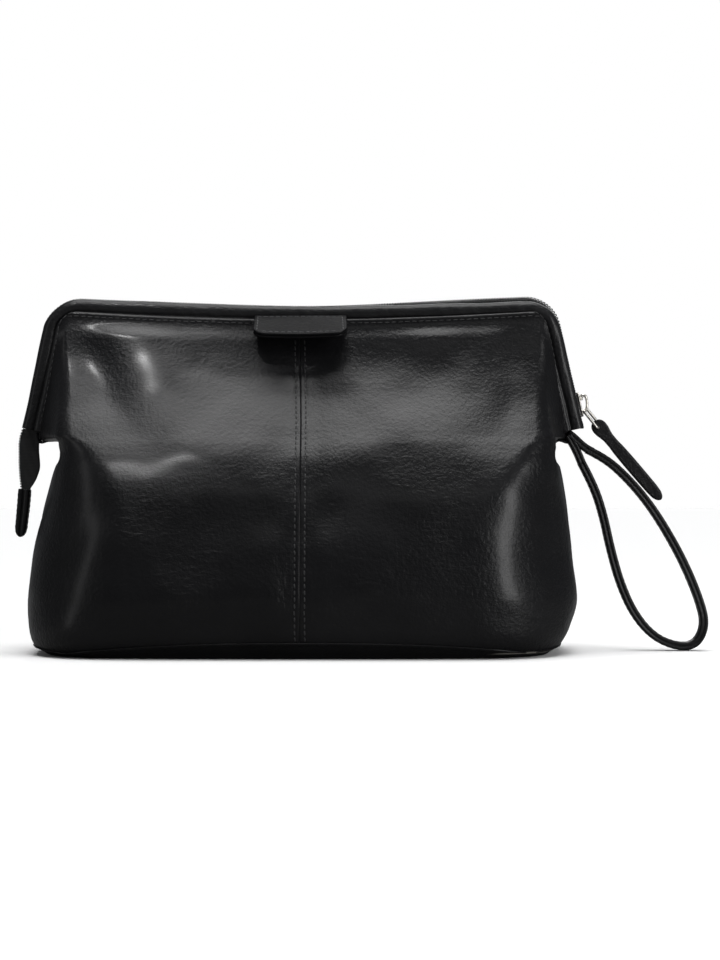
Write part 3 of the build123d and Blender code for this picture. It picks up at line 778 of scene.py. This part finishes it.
def panel_surface(side, sy):
    """The finished outer surface of one leather quarter, and the directions out of it."""
    sx = -1 if side == "left" else 1
    points = QUARTERS[side] * np.array([sx, -sy, 1.0])
    normal = grid_normals(points) * (sx * -sy)
    height = ROWS[:, None]
    reach = np.abs(points[..., 0])
    shapes = FRONT_SHAPES if sy < 0 else REAR_SHAPES
    face = smoothstep(np.abs(points[..., 1]), 0.5 * np.abs(points[:, :1, 1]), 0.95 * np.abs(points[:, :1, 1]))
    quiet = smoothstep(height, 8, 20) * (1 - smoothstep(height, 152, 161)) * smoothstep(reach, 2, 14)
    swell = dents(points, shapes) * face * quiet
    swell += 1.8 * np.sin(math.pi * np.clip(reach / 116, 0, 1)) * quiet * smoothstep(height, 10, 60) * face
    swell += 0.42 * ripple(points, 34, 11) * quiet + 0.16 * ripple(points, 13, 12) * quiet
    # the end gusset sinks in under the frame's hinge
    hollow = smoothstep(height, 52, 84) * (1 - smoothstep(height, 92, 101)) * (1 - face)
    swell -= 2.2 * hollow * np.sin(math.pi * np.clip(np.abs(points[..., 1]) / 42, 0, 1))
    # the front seam: turned-in edge, a soft swell each side and the pull of the stitches
    swell -= 0.15 * np.exp(-(reach / 0.3) ** 2)
    pull = 0.5 + 0.5 * np.cos(2 * math.pi * points[..., 2] / SEAM_STITCH[0])
    swell -= (0.10 + 0.10 * pull) * np.exp(-((reach - 2.4) / 0.6) ** 2)
    swell += 0.12 * ripple(points * np.array([0.25, 0.25, 1]), 7, 21) * np.exp(-(reach / 6) ** 2)
    # the end seam and the lapped edges on the channel
    swell[:, -1] -= 0.75
    swell[:, -2] -= 0.2
    from_top = np.clip(TOP_EDGE - height, 0, 10) * np.ones_like(reach)
    swell -= 0.8 * np.exp(-(from_top / 0.55) ** 2)
    swell -= 0.16 * np.exp(-((from_top - 2.2) / 0.7) ** 2)
    outer = points + normal * swell[..., None]
    if sy < 0:
        lean_left = SEAM_SHIFT + SEAM_LEAN * smoothstep(height, 100, 150)
        outer[..., 0] -= lean_left * (1 - smoothstep(reach, 20, 105))
    return settle(outer), normal


def build_panels():
    """Four leather quarters, each a closed shell of the leather's thickness."""
    for end, sy in ENDS:
        for side, sx in (("left", -1), ("right", 1)):
            OUTER[end, side], NORMALS[end, side] = outer, normal = panel_surface(side, sy)
            name = f"{end}_{side}_panel"
            panel = make(name, slab(outer, outer - normal * LEATHER, flip=sx * sy > 0), BODY_LEATHER)
            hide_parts(f"{name}_lower", f"{name}_upper")
            bend_with_frame(panel)


def bend_with_frame(obj):
    """Leather and cloth, with the object's transform baked into its mesh."""
    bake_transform(obj)


build_panels()


def build_panel_stitches():
    """A row beside the front seam and one along the laps at the top and on the arm, on each quarter."""
    top = int(np.argmin(np.abs(ROWS - (TOP_EDGE - 2.1))))
    for (end, side), outer in OUTER.items():
        columns = outer.shape[1]
        lines = [((slice(1, len(ROWS) - 3), 5), SEAM_STITCH), ((top, slice(2, columns - 5)), LAP_STITCH),
                 ((ROWS > 106, columns - 4), LAP_STITCH)]
        rows = [stitches(outer[line], NORMALS[end, side][line], *size, seed=seed)
                for seed, (line, size) in enumerate(lines, 3)]
        bend_with_frame(make(f"{end}_{side}_stitching", merged(rows), THREAD))


build_panel_stitches()


# ---- lining --------------------------------------------------------------------------------
LINING_GAP, CLOTH = 0.5, 0.6


def build_lining():
    """A cloth curtain inside each half of the leather, and the cloth over the base."""
    keep = slice(2, len(ROWS) - 4, 2)  # every second row and column is enough for the cloth
    for end, sy in ENDS:
        outer, normal = (np.concatenate([grids[end, "left"][keep, ::2][:, ::-1], grids[end, "right"][keep, ::2]],
                                        axis=1) for grids in (OUTER, NORMALS))
        inside = outer - normal * (LEATHER + LINING_GAP)
        cloth = make(f"{end}_lining", slab(inside, inside - normal * CLOTH, flip=sy > 0), LINING)
        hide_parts(f"{end}_lining_upper")
        bend_with_frame(cloth)
    floor = [loop_around(inset, z) for inset, z in ((9, 4.9), (8, 5.3), (8, 5.9), (9, 6.3))]
    put("lining_floor", sections(np.array(floor)), LINING, "lining", "bag", "lining_cup")


def bottom_loop():
    """The seam between base and walls all round, anticlockwise seen from above."""
    right, left = QUARTERS["right"][0], QUARTERS["left"][0]
    loop = np.concatenate([right, right[-2::-1] * np.array([1, -1, 1]), left * np.array([-1, -1, 1]),
                           left[-2::-1] * np.array([-1, 1, 1]), right[:1]])
    return resample(loop, 1.6)[:-1]


SEAM_LOOP = bottom_loop()


def loop_around(inset, z):
    """The bottom seam's loop, moved inwards and to the heights z."""
    tangent = unit(np.roll(SEAM_LOOP, -1, axis=0) - np.roll(SEAM_LOOP, 1, axis=0))
    loop = SEAM_LOOP + unit(np.cross((0, 0, 1), tangent * np.array([1, 1, 0]))) * inset
    loop[:, 2] = z
    return loop


build_lining()


# ---- base ----------------------------------------------------------------------------------
# the tray's rings: distance in from the bottom seam, share of the seam's height, and lift
TRAY = [(60, 0, 0), (30, 0, 0), (12, 0, 0), (7.8, 0, 0), (6.7, 0, 0.12), (5.4, 0.10, 0.25), (4.4, 0.28, 0.2),
        (2.9, 0.5, 0.1), (1.6, 0.72, 0), (0.7, 0.88, 0), (-0.15, 0.93, 0), (-0.75, 1, -0.1), (-0.9, 1, 0.25),
        (-0.6, 1, 0.6), (0.1, 1, 0.75), (1.4, 1, 0.4), (2.4, 0.9, 0.6), (4.5, 0.5, 1.6), (8.2, 0, 2.1),
        (12, 0, 2.1), (30, 0, 2.1), (60, 0, 2.1)]


def build_base():
    """A leather tray whose sewn rim stands out as a ridge under the walls."""
    rings = [loop_around(inset, np.maximum(SEAM_LOOP[:, 2] * share + lift, 0.0)) for inset, share, lift in TRAY]
    put("base_tray", turned(sections(np.array(rings)), -1), BASE_MATERIAL, "leather", "bag", "base_panel")


build_base()


# ---- channels, zip tapes and coils ---------------------------------------------------------
def channel_profile():
    """The channel's closed outline as (out, distance in front of the frame's line)."""
    roll = [(ROLL_RADIUS * math.sin(a), ROLL_RADIUS * math.cos(a))
            for a in np.linspace(math.radians(-48), math.radians(222), 26)]
    flange = [(-4.2, -0.6), (-4.4, 1.4), (-7.2, 2.5), (-7.6, 3.1), (-7.2, 3.7), (-4.5, 3.7), (-3.4, 3.5)]
    return roll + flange


def build_channels():
    """The rolled leather tube round each rod, with the flange that the panels lap onto."""
    points, out = frame_line(3.6, 0.7)
    for end, side in ENDS:
        lines = []
        for o, y in channel_profile():
            line = on_frame(points, out, o, FRAME_Y + y, side)
            around = np.array([out[:, 0] * o, np.full(len(out), side * y), out[:, 1] * o]).T
            skew = line[:, :1] + 0.9 * (y + o)  # the fine wrinkles run round the roll at a slant
            uneven = 0.10 * ripple(np.concatenate([skew, line[:, 1:] * 0.25], axis=1), 3.2, 31 + side)
            uneven += 0.16 * ripple(line, 16, 33 + side)
            lines.append(line + unit(around + 1e-9) * uneven[:, None])
        put(f"{end}_roll", turned(tube(lines), side), TRIM_LEATHER, "leather", f"{end}_frame", f"{end}_channel")


COIL_PITCH, COIL_STEP, COIL_WIRE = 1.3, 0.15, 0.3


def build_zip():
    """A folded tape and a coil along each frame, the two coils half a turn apart."""
    points, out = frame_line(5.0, 0.7)
    coil_line, coil_out = frame_line(5.0, COIL_STEP)
    section = [(2.35, 0.55), (2.75, 0.5), (2.75, 2.6), (3.1, 3.4), (2.2, 3.0), (2.35, 2.4)]
    for end, side in ENDS:
        tape = tube([on_frame(points, out, o, y, side) for o, y in section])
        put(f"{end}_tape", turned(tape, side), TAPE, "zip_tape", f"{end}_frame", f"{end}_zip_tape")
        turn = 2 * math.pi * np.arange(len(coil_line)) * COIL_STEP / COIL_PITCH
        turn += 0 if side < 0 else math.pi
        out_3d = np.stack([coil_out[:, 0], np.zeros(len(turn)), coil_out[:, 1]], -1)
        y_3d = np.array([0.0, side * 1.0, 0.0])
        spine = (on_frame(coil_line, coil_out, 0.0, 1.15, side)
                 + out_3d * (3.5 + 0.48 * np.sin(turn))[:, None] + y_3d * (1.05 * np.cos(turn))[:, None])
        put(f"{end}_coil", wire(spine, out_3d + y_3d * 0.3, COIL_WIRE), NYLON, "zip_teeth",
            f"{end}_frame", f"{end}_zip_teeth")


build_channels()
build_zip()


# ---- wrist strap ---------------------------------------------------------------------------
STRAP_STITCH, CAP_STITCH, PULL_STITCH = (3.0, 2.3, 0.17, 0.05), (2.6, 2.0, 0.17, 0.05), (2.6, 2.0, 0.16, 0.05)


def strap_centreline():
    """The smooth line that the strap follows, read from its route's NURBS spline, in metres."""
    data = bpy.data.curves.new("strap_line", "CURVE")
    data.dimensions = "3D"
    data.resolution_u = 16
    spline = data.splines.new("NURBS")
    spline.points.add(len(STRAP_ROUTE) - 1)
    for point, (x, z) in zip(spline.points, STRAP_ROUTE):
        point.co = (x * MM, 0, z * MM, 1)
    spline.order_u = 3
    spline.use_endpoint_u = True
    line = bpy.data.objects.new("strap_line", data)
    scene.collection.objects.link(line)
    bpy.context.view_layer.update()
    mesh = bpy.data.meshes.new_from_object(line)
    points = [tuple(v.co) for v in mesh.vertices]
    bpy.data.meshes.remove(mesh)
    bpy.data.objects.remove(line)
    return points


def edge_rows(path, across, normal, off_middle, lift, size, seed):
    """Rows of stitches along both edges of both faces of a strap."""
    return merged([stitches(path + across * (edge * off_middle) + normal * (face * lift), normal * face,
                            *size, seed=seed) for face in (1, -1) for edge in (1, -1)])


def build_strap():
    """A two-layer leather loop, and the two short ends by which it is sewn into the hinge's cover."""
    line = strap_centreline()
    path = resample(np.array(line) / MM, 1.0)
    across, normal = across_and_out(path)
    half, thick = STRAP_WIDTH / 2, STRAP_THICKNESS / 2
    strap = put("strap_leather", doubled(path, across, normal, half, thick), TRIM_LEATHER, "leather", "strap",
                "wrist_strap")
    sewn = slice(4, -4)
    rows = edge_rows(path[sewn], across[sewn], normal[sewn], half - 1.5, thick - 0.08, STRAP_STITCH, 7)
    sewing = put("strap_stitching", rows, THREAD, "leather", "strap")
    for name, route in (
            ("strap_end_upper", [(128.4, 105.8), (131.6, 103.2), (134.6, 100.4), (137.4, 98.3), (140.2, 96.8)]),
            ("strap_end_lower", [(128.2, 105.0), (129.8, 102.2), (132.4, 97.4), (135.1, 91.1)])):
        end = make(name, doubled(*side_path(route), half - 0.05, thick - 0.05), TRIM_LEATHER)
        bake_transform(end)


build_strap()


# ---- frame rods, rivets and hinge covers ---------------------------------------------------
HINGE_X = 126.4  # of the middle between the two rods' eyes
STRIP_START = {"left": [(115.9, 96.8), (116.7, 99.6), (118.5, 101.7)], "right": [(119.4, 96.5), (121.2, 100.4)]}
STRIP_ROUTE = [(123.4, 102.2), (126.0, 101.9), (128.6, 101.4), (129.5, 102.4), (129.7, 104.4), (129.4, 106.4)]
CHEEK_ROUTE = [(124.2, 102.0), (124.1, 103.8), (124.2, 106.4)]


def disc(x, radius, half_thickness):
    """A flat round plate round the pivot's axis, with rounded edges."""
    angles = np.arange(20) * 2 * math.pi / 20
    return sections(np.array([[(x + share * half_thickness, radius * girth * math.cos(a),
                                PIVOT_Z + radius * girth * math.sin(a)) for a in angles]
                              for share, girth in ((-1, 0.8), (-0.7, 0.97), (0, 1.0), (0.7, 0.97), (1, 0.8))]))


def build_rods():
    """Steel rods inside the rolls, bent in at both ends to flat eyes on the rivets."""
    line, out = frame_line(8.0, 1.2)
    for end, side in ENDS:
        eye_x = HINGE_X + 0.7 * side
        right, left = (np.array([(sx * eye_x, side * 1.2, PIVOT_Z + 1.6),
                                 (sx * (eye_x + 1.2), side * 3.9, PIVOT_Z + 3.6)]) for sx in (1, -1))
        path = np.concatenate([right, on_frame(line, out, 0.0, FRAME_Y, side), left[::-1]])
        rod = wire(resample(path, 1.0), np.array([0, 1.0, 0.05]), 1.75, 10)
        eyes = [disc(sx * eye_x, 2.3, 0.5) for sx in (1, -1)]
        put(f"{end}_rod", merged([rod] + eyes), STEEL, "steel", f"{end}_frame", f"{end}_frame_rod")


def build_hinge_covers():
    """A leather strip from the end's seam up round the rivet, with a second cheek inside it."""
    for side, sx in (("left", -1), ("right", 1)):
        leaves = []
        for route, shares, widths, half_thickness in (
                (STRIP_START[side] + STRIP_ROUTE, (0, 0.5, 0.9, 1), (2.2, 2.8, 2.8, 1.6), 0.6),
                (CHEEK_ROUTE, (0, 0.6, 0.85, 1), (2.2, 2.7, 2.3, 1.0), 0.45)):
            path, across, normal = side_path(route, 0.6)
            width = np.interp(np.linspace(0, 1, len(path)), shares, widths)
            leaves.append(layer(path, across, normal, width, half_thickness))
        put(f"{side}_hinge_cover", turned(merged(leaves), sx, sx), TRIM_LEATHER, "leather", "bag",
            f"{side}_end_tab")
        pin = [disc(HINGE_X, 1.8, 2.6), disc(HINGE_X - 3.1, 1.9, 0.45), disc(HINGE_X + 2.2, 2.5, 0.7)]
        put(f"{side}_hinge_rivet", turned(merged(pin), sx, sx), STEEL, "steel", "bag", f"{side}_rivet")


build_rods()
build_hinge_covers()


# ---- zip slider, its stop and the leather pull ---------------------------------------------
def on_arm(along, out):
    """A point in the middle plane, from its distances up and out from the right arm's line."""
    x, z = arm_point(along, out)
    return np.array([x + SPLAY[RIGHT], 0.0, z])


def arm_layer(stations, half_thickness):
    """A plate along the arm through (along, out, half width) stations."""
    stations = np.array(stations, float)
    steps = run(stations[:, :2])
    at = np.linspace(0, steps[-1], 4 * len(stations) + 8)
    smooth = natural_spline(steps, stations, at)
    path = np.array([on_arm(a, o) for a, o, _ in smooth])
    thickness = np.interp(at, steps, np.broadcast_to(half_thickness, len(stations)))
    return layer(path, *across_and_out(path), np.maximum(smooth[:, 2], 0.2), thickness, 5)


def build_slider():
    """The slider's two plates, its neck and its crown, and the stop below it."""
    plate = arm_layer([(9.0, 4.9, 1.2), (9.5, 4.88, 2.1), (11.5, 4.86, 2.7), (15, 4.86, 3.2), (18.5, 4.86, 3.5),
                       (20.4, 4.86, 3.2), (21.0, 4.86, 2.4)], 0.42)
    under = arm_layer([(9.2, 1.7, 1.0), (12, 1.7, 1.5), (18, 1.7, 1.6), (20.8, 1.7, 1.2)], 0.2)
    neck = arm_layer([(10.2, 1.7, 0.45), (10.2, 3.4, 0.45), (10.2, 4.8, 0.45)], 1.1)
    crown = arm_layer([(16.9, 6.1, 0.9), (18.1, 6.2, 1.05), (19.1, 6.9, 1.1), (18.9, 8.0, 1.1), (17.2, 8.55, 1.1),
                       (15.0, 8.45, 1.1), (13.0, 7.9, 1.1), (11.7, 7.1, 1.1), (11.3, 6.0, 1.15), (11.2, 4.9, 1.3)],
                      [0.55, 0.95, 0.85, 0.72, 0.65, 0.62, 0.62, 0.66, 0.85, 1.05])
    put("slider_body", merged([plate, under, neck, crown]), NICKEL, "nickel", "slider", "zip_slider")
    stop = arm_layer([(3.4, 3.3, 1.6), (4.2, 3.45, 2.2), (6.6, 3.5, 2.2), (7.4, 3.4, 1.6)], 0.7)
    put("zip_stop", stop, TAPE, "zip_tape", "bag", "zip_end")


PULL_ANGLE = math.radians(-49.5)
PULL_HEAD = (143.55, 108.77)
PULL_SHAPE = [(-3.75, 0.5), (-3.5, 1.5), (-2.6, 2.7), (-1.2, 3.5), (0.4, 3.75), (2.4, 3.6), (4.6, 3.1), (7.0, 2.7),
              (10.0, 2.65), (15.0, 2.95), (24.0, 3.1), (38.0, 3.0), (42.5, 2.7), (44.8, 2.0), (46.0, 1.1),
              (46.4, 0.4)]


def build_pull():
    """Two leather layers back to back, with a row of stitches round the border of each."""
    along = np.array([math.cos(PULL_ANGLE), 0, math.sin(PULL_ANGLE)])
    across = np.array([-along[2], 0, along[0]])
    head = np.array([PULL_HEAD[0], 0, PULL_HEAD[1]])
    at = np.concatenate([np.linspace(-3.75, -2, 8), np.linspace(-1.6, 42, 60), np.linspace(42.5, 46.4, 12)])
    sewn = at[(at > 4) & (at < 44)]
    for name, face in (("pull_front", -1), ("pull_back", 1)):
        normal = np.array([0, face * 1.0, 0])
        crown = 0.03 * np.sin(at / 3.1) * smoothstep(at, 6, 14)
        path = head + at[:, None] * along + normal * (0.76 + crown[:, None])
        leaf = layer(path, *(np.broadcast_to(way, path.shape) for way in (across, normal)),
                     curve(at, PULL_SHAPE), 0.68)
        put(f"{name}_leather", leaf, TRIM_LEATHER, "leather", "pull", name)
        rows = []
        for edge in (1, -1):
            row = head + sewn[:, None] * along + across * (edge * (curve(sewn, PULL_SHAPE) - 1.15))[:, None]
            rows.append(stitches(row + normal * 1.42, normal, *PULL_STITCH, seed=9))
        put(f"{name}_stitching", merged(rows), THREAD, "leather", "pull")


build_slider()
build_pull()


# ---- zip tail ------------------------------------------------------------------------------
TAIL_OUTER = [(77, -137.4), (80, -137.6), (84.5, -138.1), (92, -138.5), (100, -138.5), (104, -138.0), (108, -136.9)]
TAIL_INNER = [(77, -133.7), (78.8, -133.4), (81, -132.0), (84.5, -130.2), (90, -128.8), (98, -129.3), (102, -129.1),
              (108, -128.9)]


def build_tail():
    """The zip's loose end, folded along its coil, and the leather cap over its tip."""
    height = np.linspace(108, 77.4, 62)
    outer, inner = curve(height, TAIL_OUTER), curve(height, TAIL_INNER)
    share = np.linspace(0, 1, 12)
    x = outer[:, None] + (inner - outer)[:, None] * share
    z = np.repeat(height[:, None], len(share), axis=1)
    wave = 0.25 * np.sin(height / 4.3)[:, None] * share + 0.12 * np.sin(x * 1.7 + z * 0.6)
    for name, face, nodes in (("tail_tape_front", -1, ["zip_tail_tape"]), ("tail_tape_back", 1, [])):
        grid = np.stack([x, face * (0.5 + 0.45 * share) + wave, z], -1)
        half = np.array([0, face * 0.28, 0])
        put(name, slab(grid + half, grid - half, flip=face > 0), TAPE, "zip_tape", "zip_tail", *nodes)
    fine = np.arange(108, 78.5, -COIL_STEP)
    turn = 2 * math.pi * np.arange(len(fine)) * COIL_STEP / COIL_PITCH
    spine = np.stack([curve(fine, TAIL_OUTER) - 0.1 + 0.45 * np.sin(turn), 1.05 * np.cos(turn), fine], -1)
    put("tail_coil", wire(spine, np.array([1.0, 0.2, 0]), COIL_WIRE), NYLON, "zip_teeth", "zip_tail")
    path, across, normal = side_path([(-136.1, 78.6), (-136.6, 72), (-137.5, 63), (-138.3, 55.3)], 0.4)
    at = np.linspace(0, 23.4, len(path))
    thick = np.interp(at, (0, 0.5, 8, 19, 21, 22.3, 23.1, 23.4), (2.6, 2.9, 2.85, 2.65, 2.4, 1.8, 1.0, 0.4))
    half = np.interp(at, (0, 0.5, 19.5, 22, 23.4), (3.2, 3.4, 3.4, 2.9, 1.6))
    put("tail_cap", doubled(path, across, normal, half, thick), TRIM_LEATHER, "leather", "zip_tail",
        "zip_tail_cap")
    sewn = slice(4, -7)
    rows = edge_rows(path[sewn], across[sewn], normal[sewn], 2.1, thick[sewn, None] - 0.05, CAP_STITCH, 10)
    put("tail_cap_stitching", rows, THREAD, "leather", "zip_tail")


build_tail()


# ---- pull link -----------------------------------------------------------------------------
LINK_PLACE, LINK_ANGLE, LINK_TILT = np.array([136.63, 0, 117.32]), -51, 22
LINK_LENGTH, LINK_HALF_WIDTH, LINK_CORNER, LINK_WIRE = 11.0, 3.2, 1.1, 0.7


def build_link():
    """The wire loop between the slider's crown and the pull, turned a little so that both sides show."""
    angle, tilt = math.radians(LINK_ANGLE), math.radians(LINK_TILT)
    along = np.array([math.cos(angle), 0, math.sin(angle)])
    out = np.array([-math.sin(angle), 0, math.cos(angle)])
    across = math.cos(tilt) * np.array([0, 1, 0]) + math.sin(tilt) * out
    loop = []
    for turn, (u, v) in enumerate(((1, 1), (0, 1), (0, -1), (1, -1))):
        middle_u = LINK_CORNER if u == 0 else LINK_LENGTH - LINK_CORNER
        middle_v = v * (LINK_HALF_WIDTH - LINK_CORNER)
        for a in np.linspace(0, math.pi / 2, 6) + turn * math.pi / 2:
            loop.append((middle_u + LINK_CORNER * math.cos(a), middle_v + LINK_CORNER * math.sin(a)))
    loop = resample(np.array(loop + loop[:2]), 0.45)
    spine = LINK_PLACE + loop[:, :1] * along + loop[:, 1:] * across
    put("link_wire", wire(spine, np.cross(along, across), LINK_WIRE, 10), NICKEL, "nickel", "link",
        "pull_link")


build_link()


# ---- grip tabs -----------------------------------------------------------------------------
GRIP_X, GRIP_HALF, GRIP_CORNER = -1.6, 22.6, 6.0
GRIP_STITCH = (3.0, 2.3, 0.2, 0.04)
GRIP_LINE = [(-10.2, 162.6), (-11.2, 162.0), (-12.8, 161.3), (-15.4, 160.0), (-20.4, 157.4), (-28.0, 153.2)]


def grip_grid(side, sink):
    """Points and normals of a grip tab's middle surface, sunk below its line, rows down the tab."""
    line = np.array(GRIP_LINE)
    steps = run(line)
    across = np.concatenate([[-1, -0.985], np.linspace(-0.96, 0.96, 42), [0.985, 1]])
    down = np.concatenate([[0, 0.02], np.linspace(0.05, 0.95, 26), [0.98, 1]])
    reach = np.abs(across) * GRIP_HALF - (GRIP_HALF - GRIP_CORNER)
    cut = GRIP_CORNER - np.sqrt(np.maximum(GRIP_CORNER ** 2 - np.maximum(reach, 0) ** 2, 0))
    length = steps[-1] - cut
    at = down[:, None] * length[None, :]
    smooth = natural_spline(steps, line, at.ravel()).reshape(*at.shape, 2)
    ahead = natural_spline(steps, line, at.ravel() + 0.05).reshape(*at.shape, 2)
    tangent = unit(ahead - smooth)
    normal = np.stack([np.zeros(at.shape), tangent[..., 1], -tangent[..., 0]], -1)
    x = GRIP_X + across[None, :] * (GRIP_HALF - 0.4 + 0.4 * at / steps[-1])
    sag = 0.5 * smoothstep(at, 6, steps[-1]) * (1 - across[None, :] ** 2)
    points = np.stack([x, smooth[..., 0], smooth[..., 1]], -1) - normal * (sink + sag[..., None])
    points[..., 2] += 0.16 * ripple(points, 22, 41)
    mirror = np.array([1, -side, 1])
    return points * mirror, normal * mirror


def build_grips():
    """The front and rear grip tabs, each two leather layers with stitches round the border."""
    for end, side in ENDS:
        for layer_name, sink in (("outer", 0.68), ("inner", 2.12)):
            grid, normal = grip_grid(side, sink)
            thick = np.full((*grid.shape[:2], 1), 0.66)
            thick[0] = thick[-1] = thick[:, 0] = thick[:, -1] = 0.66 * 0.35
            leaf = slab(grid + normal * thick, grid - normal * thick, flip=side > 0)
            piece = make(f"{end}_grip_{layer_name}_leather", leaf, GRIP_LEATHER)
            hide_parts(f"{end}_grip_{layer_name}")
            bend_grip(piece)
        grid, normal = grip_grid(side, 0.02)
        lines = [((3, slice(2, -2)), 12), ((-4, slice(5, -5)), 12), ((slice(4, -4), 3), 13),
                 ((slice(4, -4), -4), 13)]
        rows = [stitches(grid[line], normal[-4, 5] if seed == 12 else normal[line], *GRIP_STITCH, seed=seed)
                for line, seed in lines]
        bend_grip(make(f"{end}_grip_stitching", merged(rows), GREY_THREAD))


def bend_grip(obj):
    """Leather of a grip tab, with the object's transform baked into its mesh."""
    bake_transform(obj)


build_grips()


# ---- CAD pieces that stay ------------------------------------------------------------------
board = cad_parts["base_board"]
board.data.materials.clear()
board.data.materials.append(BOARD)
